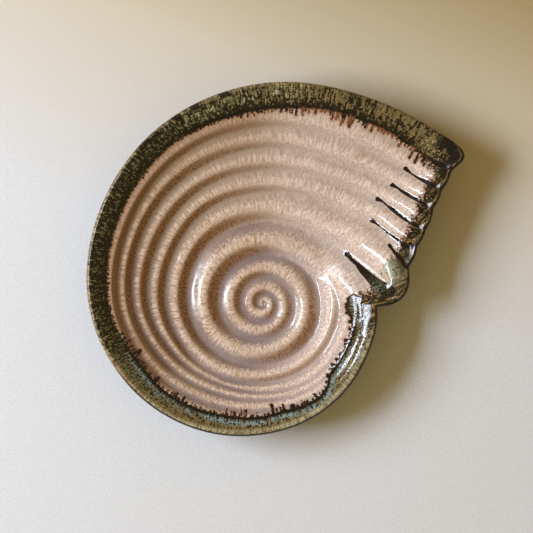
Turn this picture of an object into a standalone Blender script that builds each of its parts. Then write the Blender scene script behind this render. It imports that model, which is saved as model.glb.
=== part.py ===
"""Nautilus shell platter: one piece of glazed stoneware, made as a spiral shell cut open.

The plan is a single spiral. Over its first four turns it is the valley between the
whorls on the floor of the dish, and from there to the tip it is the rim. Ribs run
along the last whorl and end at the scalloped mouth. The whole lies in a bowl that
rises to a level, rounded lip, and stands on a round foot ring.

Lengths below are millimetres. +X is the mouth's side, +Y runs up the plan, +Z up.
The origin is under the middle of the plan's box, on the plane the foot stands on.

The dish is a loft between two unlike faces that share one outline: the ribbed upper
face and the smooth outside. Each is filled over the plan along its valleys, crests
and grooves, then lifted to its height. The foot is a turned ring, joined to it.
"""

import math

import bmesh
import bpy
import numpy as np
from mathutils import Vector
from mathutils.geometry import delaunay_2d_cdt

# ---------------------------------------------------------------- driving sizes
HEIGHT = 38.0          # lip above the table
FLOOR = 10.5           # valley of the floor above the table
WALL = 6.2             # thickness of the wall
LIP_R = 2.6            # half width of the rounded lip
LIP_DROP = 3.0         # height of the lip's outer rounding
MOUTH_REACH = (50.0, 80.0)   # how far in from the mouth the floor starts to rise:
                       # near the floor, and far out on the wall
FOOT_CENTRE = (-6.0, 21.0)   # from the spiral's centre
FOOT_R = 61.0          # middle of the foot ring
FOOT_W = 5.0           # width of the flat it stands on
FOOT_SLOPE = 0.35      # how far each side leans out for its height
FOOT_BITE = 2.5        # how deep its top is sunk in the wall
FOOT_EDGE = 0.7        # rounding of its two edges

# The spiral's radius against turns from its centre: the valley up to turn 4, then
# the rim up to the tip at turn 4.894. The last two knots carry the curve on past
# the tip, where it only guides the ribs.
SPIRAL = (
    (0.00, 0.0), (0.25, 2.4), (0.50, 5.6), (0.75, 6.8), (1.00, 10.1), (1.25, 14.9),
    (1.50, 18.9), (1.75, 20.9), (2.00, 23.3), (2.25, 29.4), (2.50, 37.0), (2.75, 38.6),
    (3.00, 45.9), (3.25, 50.7), (3.50, 62.8), (3.625, 66.2), (3.75, 66.0),
    (3.833, 67.2), (3.875, 71.2), (3.917, 78.0), (3.958, 85.0), (4.00, 90.5),
    (4.083, 93.5), (4.167, 98.9), (4.25, 105.6), (4.333, 115.9), (4.417, 128.5),
    (4.50, 141.9), (4.583, 153.0), (4.667, 166.3), (4.75, 177.9), (4.833, 187.8),
    (4.875, 196.9), (4.894, 202.9), (4.917, 208.5), (5.00, 237.5),
)
TIP_TURN = 4.887

# The grooves between the ribs, as shares of the way from valley to rim, against turns.
GROOVE_TURNS = (3.00, 3.083, 3.167, 3.25, 3.333, 3.417, 3.50, 3.583, 3.667, 3.75,
                3.833, 3.875, 3.896, 3.917, 3.94, 4.00)
GROOVES = (
    (.36, .342, .315, .277, .258, .236, .234, .218, .227, .215, .235, .248, .277, .283, .33, .40),
    (.52, .513, .480, .400, .345, .362, .406, .384, .389, .373, .387, .405, .416, .430, .48, .56),
    (.63, .624, .590, .504, .471, .512, .558, .556, .542, .530, .520, .540, .550, .590, .64, .70),
    (.76, .760, .724, .657, .639, .672, .700, .694, .704, .681, .666, .672, .684, .738, .78, .82),
    (.88, .880, .860, .820, .800, .805, .812, .806, .818, .824, .822, .818, .834, .870, .90, .92),
)
RIB_HEIGHT = (4.6, 2.7, 2.5, 2.4, 2.2, 1.2)   # valley side first, rim side last
MOUTH_RIBS = 1.3       # how much taller the ribs stand where they reach the mouth

# The mouth's outline from the tip to where it meets the whorl: the notches at the
# ends of the grooves, from the spiral's centre, and how far each lobe bulges.
NOTCHES = ((150.6, 107.3), (142.9, 91.3), (136.0, 76.9), (130.0, 59.6),
           (122.8, 45.5), (115.6, 29.4), (90.9, -2.4))
BULGES = (1.6, 1.4, 1.7, 1.3, 1.9, 12.5)


def curve_at(x, knots):
    """Smooth curve through (x, y) knots."""
    xs, ys = (np.array(v, float) for v in zip(*knots))
    slopes = np.gradient(ys, xs)
    x = np.clip(np.asarray(x, float), xs[0], xs[-1])
    i = np.clip(np.searchsorted(xs, x, side="right") - 1, 0, len(xs) - 2)
    h = xs[i + 1] - xs[i]
    t = (x - xs[i]) / h
    return ((2 * t**3 - 3 * t**2 + 1) * ys[i] + (t**3 - 2 * t**2 + t) * h * slopes[i]
            + (3 * t**2 - 2 * t**3) * ys[i + 1] + (t**3 - t**2) * h * slopes[i + 1])


def step(x, a, b):
    t = np.clip((np.asarray(x, float) - a) / (b - a), 0.0, 1.0)
    return t * t * (3 - 2 * t)


def spiral_point(turn, radius=None):
    a = -2 * math.pi * turn
    r = curve_at(turn, SPIRAL) if radius is None else radius
    return np.array([r * math.cos(a), r * math.sin(a)])


# ---------------------------------------------------------------- plan outline
def rim_points(spacing):
    """Along the rim, from where the mouth meets the whorl to just before the tip."""
    fine = np.linspace(4.005, TIP_TURN, 600)
    pts = np.array([spiral_point(t) for t in fine])
    run = np.r_[0, np.cumsum(np.hypot(*np.diff(pts, axis=0).T))]
    n = max(8, int(round(run[-1] / spacing)))
    at = np.linspace(0, run[-1], n)
    return np.c_[np.interp(at, run, pts[:, 0]), np.interp(at, run, pts[:, 1])]


def mouth_points(spacing):
    """Round the tip and down the scalloped mouth."""
    tip = [(158.6, 125.6), (161.0, 122.6), (162.4, 119.6), (161.9, 116.6),
           (159.6, 113.6), (155.6, 110.4)]
    dense = [np.array(p) for p in tip]
    for (a, b), bulge in zip(zip(NOTCHES, NOTCHES[1:]), BULGES):
        a, b = np.array(a), np.array(b)
        along = (b - a) / np.linalg.norm(b - a)
        out = np.array([-along[1], along[0]])
        for t in np.linspace(0, 1, 13)[:-1]:
            full = (4 * t * (1 - t)) ** 0.85
            dense.append(a + (b - a) * t + out * bulge * full)
    dense = np.array(dense + [np.array(NOTCHES[-1])])
    for _ in range(2):                       # the wet clay rounds the corners
        dense[1:-1] = 0.25 * dense[:-2] + 0.5 * dense[1:-1] + 0.25 * dense[2:]
    run = np.r_[0, np.cumsum(np.hypot(*np.diff(dense, axis=0).T))]
    at = np.linspace(0, run[-1], max(8, int(round(run[-1] / spacing))))
    return np.c_[np.interp(at, run, dense[:, 0]), np.interp(at, run, dense[:, 1])]


def floor_points():
    """The closed line inside which the bowl hasn't begun to rise."""
    pts = []
    for deg in range(0, 360, 4):
        if deg < 60:
            r = curve_at(deg, ((0, 45.9), (15, 48.5), (30, 54.0), (45, 61.5), (60, 67.2)))
        else:
            r = curve_at(4.0 - deg / 360.0, SPIRAL)
        pts.append((r * math.cos(math.radians(deg)), r * math.sin(math.radians(deg))))
    return np.array(pts)


def distance(points, line, closed=False):
    """Distance of each point from a polyline."""
    a = line if closed else line[:-1]
    b = np.roll(line, -1, 0) if closed else line[1:]
    best = np.full(len(points), 1e9)
    for p, q in zip(a, b):
        d = q - p
        t = np.clip(((points - p) @ d) / max(d @ d, 1e-12), 0, 1)
        best = np.minimum(best, np.hypot(*(points - p - t[:, None] * d).T))
    return best


def inside(points, loop):
    x, y = points.T
    odd = np.zeros(len(points), bool)
    for (x1, y1), (x2, y2) in zip(loop, np.roll(loop, -1, 0)):
        if y1 != y2:
            hit = ((y1 > y) != (y2 > y)) & (x < (x2 - x1) * (y - y1) / (y2 - y1) + x1)
            odd ^= hit
    return odd


RIM, MOUTH, BED = rim_points(3.0), mouth_points(1.2), floor_points()


# ---------------------------------------------------------------- relief and bowl
def whorl(points):
    """(turn, share) of each point: the turn of the valley inside it, and how far it
    lies from that valley to the next line out."""
    x, y = points.T
    r, f = np.hypot(x, y), np.mod(-np.arctan2(y, x) / (2 * math.pi), 1.0)
    turn, low = f - 1.0, np.zeros_like(r)
    high = curve_at(f, SPIRAL)
    for k in range(4):
        s = curve_at(f + k, SPIRAL)
        nxt = curve_at(np.minimum(f + k + 1, 5.0), SPIRAL)
        past = r >= s
        turn, low, high = (np.where(past, f + k, turn), np.where(past, s, low),
                           np.where(past, nxt, high))
    return turn, np.clip((r - low) / np.maximum(high - low, 1e-6), 0, 1)


def hump(t, crest):
    """0 at both ends, 1 at the crest, level at all three."""
    t = np.where(t < crest, 0.5 * t / crest, 0.5 + 0.5 * (t - crest) / (1 - crest))
    return np.sin(math.pi * np.clip(t, 0, 1)) ** 2


def groove(turn, shares):
    return curve_at(turn, list(zip(GROOVE_TURNS, shares)))


def rib_number(turn, share):
    """0 at the valley, then 1 to 5 at the grooves and 6 at the rim."""
    lines = [groove(turn, g) for g in GROOVES]
    edges = [np.zeros_like(share), *lines, np.ones_like(share)]
    n = np.zeros_like(share)
    for i, (a, b) in enumerate(zip(edges, edges[1:])):
        n = np.where(share >= a, i + np.clip((share - a) / (b - a), 0, 1), n)
    return n


def relief(points):
    """(height, level) of the ridges and ribs above the bowl: the height at each point
    and the height of the crests about it, which runs on smoothly over the valleys."""
    turn, share = whorl(points)
    gap = curve_at(np.clip(turn + 1, 0, 5), SPIRAL) - np.where(
        turn > 0, curve_at(np.maximum(turn, 0), SPIRAL), 0)
    ridge = np.minimum((0.155 + 0.035 * step(turn, 1.3, 2.4)) * gap, 5.0)
    n = rib_number(np.maximum(turn, 3.0), share)
    outer = step(n, 0.7, 1.3)                # 0 on the first rib, 1 on the others
    crest = np.interp(n, np.arange(6) + 0.5, RIB_HEIGHT)
    crest = crest * (1 - outer + outer * (0.25 + 0.75 * step(turn, 3.12, 3.45)))
    second = outer * (1 - step(n, 1.8, 2.2))
    crest = crest * (1 - 0.75 * second * (1 - step(turn, 3.35, 3.43)))
    crest = crest * (1 - outer * (1 - step(turn, 2.98, 3.08)))
    crest = crest * (1 + (MOUTH_RIBS - 1) * step(turn, 3.72, 3.88))
    crest = crest * (1 - 0.15 * (1 - outer) * np.exp(-(((turn - 3.5) / 0.14) ** 2)))
    # a short groove splits the first rib where it meets the mouth
    split = np.interp(turn, (3.90, 3.93, 3.96, 4.0), (0.228, 0.232, 0.239, 0.25))
    cut = 2.0 * step(turn, 3.90, 3.95) * np.exp(-(((share - split) / 0.035) ** 2))
    last = step(turn, 2.86, 3.06)
    height = ridge * hump(share, 0.44) * (1 - last) + (
        crest * hump(n - np.floor(np.clip(n, 0, 5.999)), 0.47) ** 0.9 - cut) * last
    level = ridge * (1 - last) + crest * last
    beyond = RIB_HEIGHT[0] * (1 + (MOUTH_RIBS - 1) * step(turn + 1, 3.72, 3.88))
    beyond = 5.0 + (beyond - 5.0) * step(turn + 1, 2.86, 3.06)
    level = level + (beyond - level) * step(share, 0.5, 1.0) * (turn < 3)
    return height, level


def bowl(points):
    """(height, distance from the edge, from the rim, from the mouth) of the plain bowl."""
    d1, d2 = distance(points, RIM), distance(points, MOUTH)
    bed = np.where(inside(points, BED), 0.0, distance(points, BED, closed=True))
    q1, q2 = (np.where(d > LIP_R, np.sqrt((d - LIP_R) ** 2 + 4.0) - 2.0, 0.0)
              for d in (d1, d2))
    wide = bed + q1
    share = bed / np.maximum(wide, 1e-6)
    narrow = 1 - step(wide, 48, 76)          # where the wall is close to the floor
    side = share ** (1.5 - 0.2 * narrow + 0.7 * (1 - narrow) * (1 - step(d2, 25, 85)))
    side = side + 0.45 * narrow * (share * share * (3 - 2 * share) - side)
    reach = np.clip(bed + q2, *MOUTH_REACH)
    soft = 0.35                              # the rise begins softly, then runs straight
    end = np.hypot(np.clip(1 - q2 / reach, 0, 1), soft) - soft
    end = end / (math.hypot(1, soft) - soft)
    left = [np.maximum(1 - v, 1e-4) ** -3.0 for v in (side, end)]
    rise = 1 - (left[0] + left[1] - 1) ** (-1 / 3)   # the higher of the two, blended
    d = np.minimum(d1, d2)
    lip = np.sqrt(np.clip(1 - (np.clip(LIP_R - d, 0, LIP_R) / LIP_R) ** 2, 0, 1))
    return FLOOR + (HEIGHT - FLOOR) * rise - LIP_DROP * (1 - lip), d, d1, d2


def top_height(points):
    """The ribbed upper face. The ribs die out under the rim's lip; at the mouth their
    crests come level with it and the grooves notch it."""
    z, d, d1, d2 = bowl(points)
    height, level = relief(points)
    keep = step(d1, 3.0, 16.0) * (0.35 + 0.65 * step(d2, 1.0, 8.0)) * step(d, 0.0, 2.6)
    lift = keep * (height - level * (1 - step(d2, 2.0, 14.0)))
    room = np.maximum(HEIGHT - z, 1e-3)      # nothing stands higher than the lip
    over = np.maximum(lift, 0.0) / room
    return z + lift / (1 + over**4) ** 0.25


def under_height(points):
    """The smooth outside of the dish."""
    z, d, _, _ = bowl(points)
    slope = 1.0 + 0.22 * step(z, FLOOR + 2, HEIGHT - 6)
    thin = np.sqrt(np.clip(1 - (np.clip(3.0 - d, 0, 3.0) / 3.0) ** 2, 0, 1))
    return z - WALL * slope * thin


# ---------------------------------------------------------------- meshing
def offset(loop, by):
    """The loop moved inwards by a distance."""
    before, after = np.roll(loop, 1, 0), np.roll(loop, -1, 0)
    t = after - before
    t /= np.maximum(np.hypot(*t.T), 1e-9)[:, None]
    n = np.c_[t[:, 1], -t[:, 0]]             # the loop runs clockwise
    return loop + n * by


def fill(loop, rings, inner, lines):
    """Triangles over the plan: its outline, rings just inside it, and inner points."""
    points, edges = list(map(tuple, loop)), []
    for ring in (loop, *rings):
        start = 0 if ring is loop else len(points)
        if ring is not loop:
            points += map(tuple, ring)
        edges += [(start + i, start + (i + 1) % len(ring)) for i in range(len(ring))]
    start = len(points)
    points += map(tuple, inner)
    edges += [(start + a, start + b) for a, b in lines]
    found = delaunay_2d_cdt([Vector(p) for p in points], edges, [], 1, 1e-5)
    return np.array([tuple(v) for v in found[0]]), found[2]


def relief_points(loop):
    """Points along the valleys, crests and grooves, and the lines that join them."""
    inner, lines, index = [], [], {}
    def put(key, turn_angle, r):
        index[key] = len(inner)
        inner.append(spiral_point(turn_angle, r))
    per_turn = 60
    for i in range(0, 4 * per_turn + 1):
        turn = i / per_turn
        low = float(curve_at(turn, SPIRAL))
        high = float(curve_at(min(turn + 1, 5.0), SPIRAL))
        if i % (1 if turn >= 2.75 else 2 if turn >= 1.2 else 4 if turn >= 0.5 else 6):
            continue
        if turn < 3:
            shares = [0.0, 0.16, 0.3, 0.44, 0.6, 0.8]
        else:
            cuts = [0.0] + [float(groove(turn, g)) for g in GROOVES] + [1.0]
            shares = [a + (b - a) * s for a, b in zip(cuts, cuts[1:])
                      for s in (0.07, 0.28, 0.47, 0.69, 0.93)]
        for j, s in enumerate(shares):
            put((i, j, turn >= 3), turn, low + (high - low) * s)
    for (i, j, last), n in index.items():
        m = next((index[k] for g in (1, 2, 3, 4, 6) if (k := (i + g, j, last)) in index), None)
        if m is not None:
            lines.append((n, m))
    inner = np.array(inner)
    d = np.minimum(distance(inner, RIM), distance(inner, MOUTH))
    ok = inside(inner, loop) & (d > 6.5) & (np.hypot(*inner.T) > 1.0)
    # near the spiral's centre the lines crowd, so each point keeps its own room
    kept = []
    for k in np.argsort(-np.hypot(*inner.T)):
        if ok[k]:
            r = math.hypot(*inner[k])
            room = 1.2 if r < 30 else 1.6
            near = [m for m in kept if abs(inner[m][0] - inner[k][0]) < room
                    and abs(inner[m][1] - inner[k][1]) < room]
            if near:
                ok[k] = False
            else:
                kept.append(k)
    new = {int(k): n for n, k in enumerate(np.flatnonzero(ok))}
    lines = [(new[a], new[b]) for a, b in lines if a in new and b in new]
    return inner[ok], lines


def under_points(loop):
    """An even lattice for the smooth outside."""
    pitch = 9.0
    inner = np.array([((i + 0.5 * (j % 2)) * pitch, j * pitch * 0.866)
                      for j in range(-36, 37) for i in range(-36, 37)])
    d = np.minimum(distance(inner, RIM), distance(inner, MOUTH))
    return inner[inside(inner, loop) & (d > 8.0)]


def dish(loop, middle):
    inner, lines = relief_points(loop)
    upper = fill(loop, [offset(loop, 0.9), offset(loop, 2.6), offset(loop, 5.0)], inner, lines)
    lower = fill(loop, [offset(loop, 0.8), offset(loop, 3.0)], under_points(loop), [])
    bm = bmesh.new()
    for (plan, faces), height, flip in ((upper, top_height, False), (lower, under_height, True)):
        z = height(plan)
        z[distance(plan, loop, closed=True) < 1e-3] = HEIGHT - LIP_DROP
        verts = [bm.verts.new(((x - middle[0]) * 0.001, (y - middle[1]) * 0.001, h * 0.001))
                 for (x, y), h in zip(plan, z)]
        for f in faces:
            corners = [verts[i] for i in f]
            bm.faces.new(corners[::-1] if flip else corners)
    bmesh.ops.remove_doubles(bm, verts=bm.verts, dist=1e-6)
    bmesh.ops.recalc_face_normals(bm, faces=bm.faces)
    mesh = bpy.data.meshes.new("shell_platter")
    bm.to_mesh(mesh)
    bm.free()
    mesh.shade_smooth()
    mesh.set_sharp_from_angle(angle=math.radians(50))
    return bpy.data.objects.new("shell_platter", mesh)


def foot_ring(middle):
    """The turned foot: its section swept once round, with the top carried up to the
    outside of the dish and sunk in it."""
    centre = Vector((FOOT_CENTRE[0], FOOT_CENTRE[1], 0.0))
    bm = bmesh.new()
    section = [bm.verts.new(centre + Vector((r, 0.0, z))) for r, z in (
        (FOOT_R + FOOT_W / 2, 1.0), (FOOT_R + FOOT_W / 2, 0.0),
        (FOOT_R - FOOT_W / 2, 0.0), (FOOT_R - FOOT_W / 2, 1.0))]
    edges = [bm.edges.new((a, b)) for a, b in zip(section, section[1:] + section[:1])]
    bmesh.ops.spin(bm, geom=section + edges, cent=centre, axis=(0, 0, 1),
                   angle=2 * math.pi, steps=96, use_merge=True)
    for v in bm.verts:
        if v.co.z > 0.5:
            out = v.co - centre
            out.z = 0.0
            away = out.length - FOOT_R
            for _ in range(4):               # the side leans, so its height moves its foot
                top = float(under_height(np.array([v.co[:2]]))[0])
                reach = FOOT_R + math.copysign(FOOT_W / 2 + FOOT_SLOPE * top, away)
                v.co = centre + out.normalized() * reach
            v.co.z = top + FOOT_BITE
    bmesh.ops.recalc_face_normals(bm, faces=bm.faces)
    for v in bm.verts:
        v.co = (v.co - Vector((middle[0], middle[1], 0.0))) * 0.001
    mesh = bpy.data.meshes.new("foot_ring")
    bm.to_mesh(mesh)
    bm.free()
    ring = bpy.data.objects.new("foot_ring", mesh)
    soft = ring.modifiers.new("edges", "BEVEL")
    soft.width = FOOT_EDGE * 0.001
    soft.segments = 2
    soft.limit_method = "ANGLE"
    soft.angle_limit = math.radians(40)
    ring.hide_render = True
    ring.display_type = "WIRE"
    return ring


def glaze():
    mat = bpy.data.materials.new("reactive_glaze")
    mat.use_nodes = True
    shader = mat.node_tree.nodes["Principled BSDF"]
    shader.inputs["Base Color"].default_value = (0.45, 0.33, 0.25, 1.0)
    shader.inputs["Roughness"].default_value = 0.18
    shader.inputs["Metallic"].default_value = 0.0
    return mat


def collection(name):
    found = bpy.data.collections.new(name)
    bpy.context.scene.collection.children.link(found)
    return found


def main():
    for o in list(bpy.data.objects):
        bpy.data.objects.remove(o, do_unlink=True)
    loop = np.vstack([rim_points(6.0), mouth_points(2.6)[:-1]])
    middle = (loop.max(0) + loop.min(0)) / 2
    platter, ring = dish(loop, middle), foot_ring(middle)
    platter.data.materials.append(glaze())
    ring.data.materials.append(platter.data.materials[0])
    collection("shell_platter").objects.link(platter)
    collection("shell_platter_cutters").objects.link(ring)
    join = platter.modifiers.new("foot", "BOOLEAN")
    join.operation = "UNION"
    join.solver = "EXACT"
    join.object = ring


main()
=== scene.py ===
"""Looks of the nautilus shell platter: the glazed body, the floor, the light and the camera.

The body is rebuilt here at a fine pitch from the same spiral, ribs and bowl as the CAD
part, in the same frame, and stands for it. On top of that surface lie the glaze's own
beads: the fringe at the inner edge of the dark rim band and the drips in the grooves
at the mouth. Where each glaze lies is kept on the mesh as point attributes, and the
material's nodes draw the mottling, streaks and speckles from them. Some attributes also
mark where the surface faces away from the light, and there the material paints shade:
brown on the ribs' flanks, a darker upper-left wall and a black line on the lip.

Lengths are millimetres until the mesh is made, measured from the spiral's centre.
"""

import math

import bpy
import numpy as np
from mathutils import Matrix, Vector
from mathutils.geometry import delaunay_2d_cdt


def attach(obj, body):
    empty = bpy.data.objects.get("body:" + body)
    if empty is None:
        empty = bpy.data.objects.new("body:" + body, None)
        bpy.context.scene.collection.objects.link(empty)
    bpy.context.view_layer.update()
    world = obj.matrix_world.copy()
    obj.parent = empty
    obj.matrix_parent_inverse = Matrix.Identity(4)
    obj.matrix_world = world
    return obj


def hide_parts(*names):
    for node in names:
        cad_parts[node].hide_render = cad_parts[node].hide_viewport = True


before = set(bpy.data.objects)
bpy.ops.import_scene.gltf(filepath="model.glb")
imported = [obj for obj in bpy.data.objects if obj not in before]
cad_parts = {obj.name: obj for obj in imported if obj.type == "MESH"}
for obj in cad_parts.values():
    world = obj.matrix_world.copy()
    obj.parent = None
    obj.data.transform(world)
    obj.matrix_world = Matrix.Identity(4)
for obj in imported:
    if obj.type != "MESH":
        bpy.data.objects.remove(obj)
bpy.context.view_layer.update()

# ---------------------------------------------------------------- driving sizes
HEIGHT = 38.0          # lip above the table
FLOOR = 10.5           # valley of the floor above the table
WALL = 6.2             # thickness of the wall
LIP_R = 2.6            # half width of the rounded lip
LIP_DROP = 3.0         # height of the lip's outer rounding
MOUTH_REACH = (50.0, 80.0)   # how far in from the mouth the floor starts to rise:
                       # near the floor, and far out on the wall
FOOT_CENTRE = (-6.0, 21.0)   # from the spiral's centre
FOOT_R = 61.0          # middle of the foot ring
FOOT_W = 5.0           # width of the flat it stands on
FOOT_SLOPE = 0.35      # how far each side leans out for its height
FOOT_BITE = 2.5        # how deep its top is sunk in the wall
FOOT_EDGE = 0.7        # rounding of its two edges

# The spiral's radius against turns from its centre: the valley up to turn 4, then
# the rim up to the tip at turn 4.894. The last two knots carry the curve on past
# the tip, where it only guides the ribs.
SPIRAL = (
    (0.00, 0.0), (0.25, 2.4), (0.50, 5.6), (0.75, 6.8), (1.00, 10.1), (1.25, 14.9),
    (1.50, 18.9), (1.75, 20.9), (2.00, 23.3), (2.25, 29.4), (2.50, 37.0), (2.75, 38.6),
    (3.00, 45.9), (3.25, 50.7), (3.50, 62.8), (3.625, 66.2), (3.75, 66.0),
    (3.833, 67.2), (3.875, 71.2), (3.917, 78.0), (3.958, 85.0), (4.00, 90.5),
    (4.083, 93.5), (4.167, 98.9), (4.25, 105.6), (4.333, 115.9), (4.417, 128.5),
    (4.50, 141.9), (4.583, 153.0), (4.667, 166.3), (4.75, 177.9), (4.833, 187.8),
    (4.875, 196.9), (4.894, 202.9), (4.917, 208.5), (5.00, 237.5),
)
TIP_TURN = 4.887

# The grooves between the ribs, as shares of the way from valley to rim, against turns.
GROOVE_TURNS = (3.00, 3.083, 3.167, 3.25, 3.333, 3.417, 3.50, 3.583, 3.667, 3.75,
                3.833, 3.875, 3.896, 3.917, 3.94, 4.00)
GROOVES = (
    (.36, .342, .315, .277, .258, .236, .234, .218, .227, .215, .235, .248, .277, .283, .33, .40),
    (.52, .513, .480, .400, .345, .362, .406, .384, .389, .373, .387, .405, .416, .430, .48, .56),
    (.63, .624, .590, .504, .471, .512, .558, .556, .542, .530, .520, .540, .550, .590, .64, .70),
    (.76, .760, .724, .657, .639, .672, .700, .694, .704, .681, .666, .672, .684, .738, .78, .82),
    (.88, .880, .860, .820, .800, .805, .812, .806, .818, .824, .822, .818, .834, .870, .90, .92),
)
RIB_HEIGHT = (4.6, 2.7, 2.5, 2.4, 2.2, 1.2)   # valley side first, rim side last
MOUTH_RIBS = 1.3       # how much taller the ribs stand where they reach the mouth

# The mouth's outline from the tip to where it meets the whorl: the notches at the
# ends of the grooves, from the spiral's centre, and how far each lobe bulges.
NOTCHES = ((150.6, 107.3), (142.9, 91.3), (136.0, 76.9), (130.0, 59.6),
           (122.8, 45.5), (115.6, 29.4), (90.9, -2.4))
BULGES = (1.6, 1.4, 1.7, 1.3, 1.9, 12.5)


def curve_at(x, knots):
    """Smooth curve through (x, y) knots."""
    xs, ys = (np.array(v, float) for v in zip(*knots))
    slopes = np.gradient(ys, xs)
    x = np.clip(np.asarray(x, float), xs[0], xs[-1])
    i = np.clip(np.searchsorted(xs, x, side="right") - 1, 0, len(xs) - 2)
    h = xs[i + 1] - xs[i]
    t = (x - xs[i]) / h
    return ((2 * t**3 - 3 * t**2 + 1) * ys[i] + (t**3 - 2 * t**2 + t) * h * slopes[i]
            + (3 * t**2 - 2 * t**3) * ys[i + 1] + (t**3 - t**2) * h * slopes[i + 1])


def step(x, a, b):
    t = np.clip((np.asarray(x, float) - a) / (b - a), 0.0, 1.0)
    return t * t * (3 - 2 * t)


def spiral_point(turn, radius=None):
    a = -2 * math.pi * turn
    r = curve_at(turn, SPIRAL) if radius is None else radius
    return np.array([r * math.cos(a), r * math.sin(a)])


# ---------------------------------------------------------------- plan outline
def rim_points(spacing):
    """Along the rim, from where the mouth meets the whorl to just before the tip."""
    fine = np.linspace(4.005, TIP_TURN, 600)
    pts = np.array([spiral_point(t) for t in fine])
    run = np.r_[0, np.cumsum(np.hypot(*np.diff(pts, axis=0).T))]
    n = max(8, int(round(run[-1] / spacing)))
    at = np.linspace(0, run[-1], n)
    return np.c_[np.interp(at, run, pts[:, 0]), np.interp(at, run, pts[:, 1])]


def mouth_points(spacing):
    """Round the tip and down the scalloped mouth."""
    tip = [(158.6, 125.6), (161.0, 122.6), (162.4, 119.6), (161.9, 116.6),
           (159.6, 113.6), (155.6, 110.4)]
    dense = [np.array(p) for p in tip]
    for (a, b), bulge in zip(zip(NOTCHES, NOTCHES[1:]), BULGES):
        a, b = np.array(a), np.array(b)
        along = (b - a) / np.linalg.norm(b - a)
        out = np.array([-along[1], along[0]])
        for t in np.linspace(0, 1, 13)[:-1]:
            full = (4 * t * (1 - t)) ** 0.85
            dense.append(a + (b - a) * t + out * bulge * full)
    dense = np.array(dense + [np.array(NOTCHES[-1])])
    for _ in range(2):                       # the wet clay rounds the corners
        dense[1:-1] = 0.25 * dense[:-2] + 0.5 * dense[1:-1] + 0.25 * dense[2:]
    run = np.r_[0, np.cumsum(np.hypot(*np.diff(dense, axis=0).T))]
    at = np.linspace(0, run[-1], max(8, int(round(run[-1] / spacing))))
    return np.c_[np.interp(at, run, dense[:, 0]), np.interp(at, run, dense[:, 1])]


def floor_points():
    """The closed line inside which the bowl hasn't begun to rise."""
    pts = []
    for deg in range(0, 360, 4):
        if deg < 60:
            r = curve_at(deg, ((0, 45.9), (15, 48.5), (30, 54.0), (45, 61.5), (60, 67.2)))
        else:
            r = curve_at(4.0 - deg / 360.0, SPIRAL)
        pts.append((r * math.cos(math.radians(deg)), r * math.sin(math.radians(deg))))
    return np.array(pts)


def distance(points, line, closed=False):
    """Distance of each point from a polyline."""
    a = line if closed else line[:-1]
    b = np.roll(line, -1, 0) if closed else line[1:]
    best = np.full(len(points), 1e9)
    for p, q in zip(a, b):
        d = q - p
        t = np.clip(((points - p) @ d) / max(d @ d, 1e-12), 0, 1)
        best = np.minimum(best, np.hypot(*(points - p - t[:, None] * d).T))
    return best


def inside(points, loop):
    x, y = points.T
    odd = np.zeros(len(points), bool)
    for (x1, y1), (x2, y2) in zip(loop, np.roll(loop, -1, 0)):
        if y1 != y2:
            hit = ((y1 > y) != (y2 > y)) & (x < (x2 - x1) * (y - y1) / (y2 - y1) + x1)
            odd ^= hit
    return odd


RIM, MOUTH, BED = rim_points(3.0), mouth_points(1.2), floor_points()


# ---------------------------------------------------------------- relief and bowl
def whorl(points):
    """(turn, share) of each point: the turn of the valley inside it, and how far it
    lies from that valley to the next line out."""
    x, y = points.T
    r, f = np.hypot(x, y), np.mod(-np.arctan2(y, x) / (2 * math.pi), 1.0)
    turn, low = f - 1.0, np.zeros_like(r)
    high = curve_at(f, SPIRAL)
    for k in range(4):
        s = curve_at(f + k, SPIRAL)
        nxt = curve_at(np.minimum(f + k + 1, 5.0), SPIRAL)
        past = r >= s
        turn, low, high = (np.where(past, f + k, turn), np.where(past, s, low),
                           np.where(past, nxt, high))
    return turn, np.clip((r - low) / np.maximum(high - low, 1e-6), 0, 1)


def hump(t, crest):
    """0 at both ends, 1 at the crest, level at all three."""
    t = np.where(t < crest, 0.5 * t / crest, 0.5 + 0.5 * (t - crest) / (1 - crest))
    return np.sin(math.pi * np.clip(t, 0, 1)) ** 2


def groove(turn, shares):
    return curve_at(turn, list(zip(GROOVE_TURNS, shares)))


def rib_number(turn, share):
    """0 at the valley, then 1 to 5 at the grooves and 6 at the rim."""
    lines = [groove(turn, g) for g in GROOVES]
    edges = [np.zeros_like(share), *lines, np.ones_like(share)]
    n = np.zeros_like(share)
    for i, (a, b) in enumerate(zip(edges, edges[1:])):
        n = np.where(share >= a, i + np.clip((share - a) / (b - a), 0, 1), n)
    return n


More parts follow.
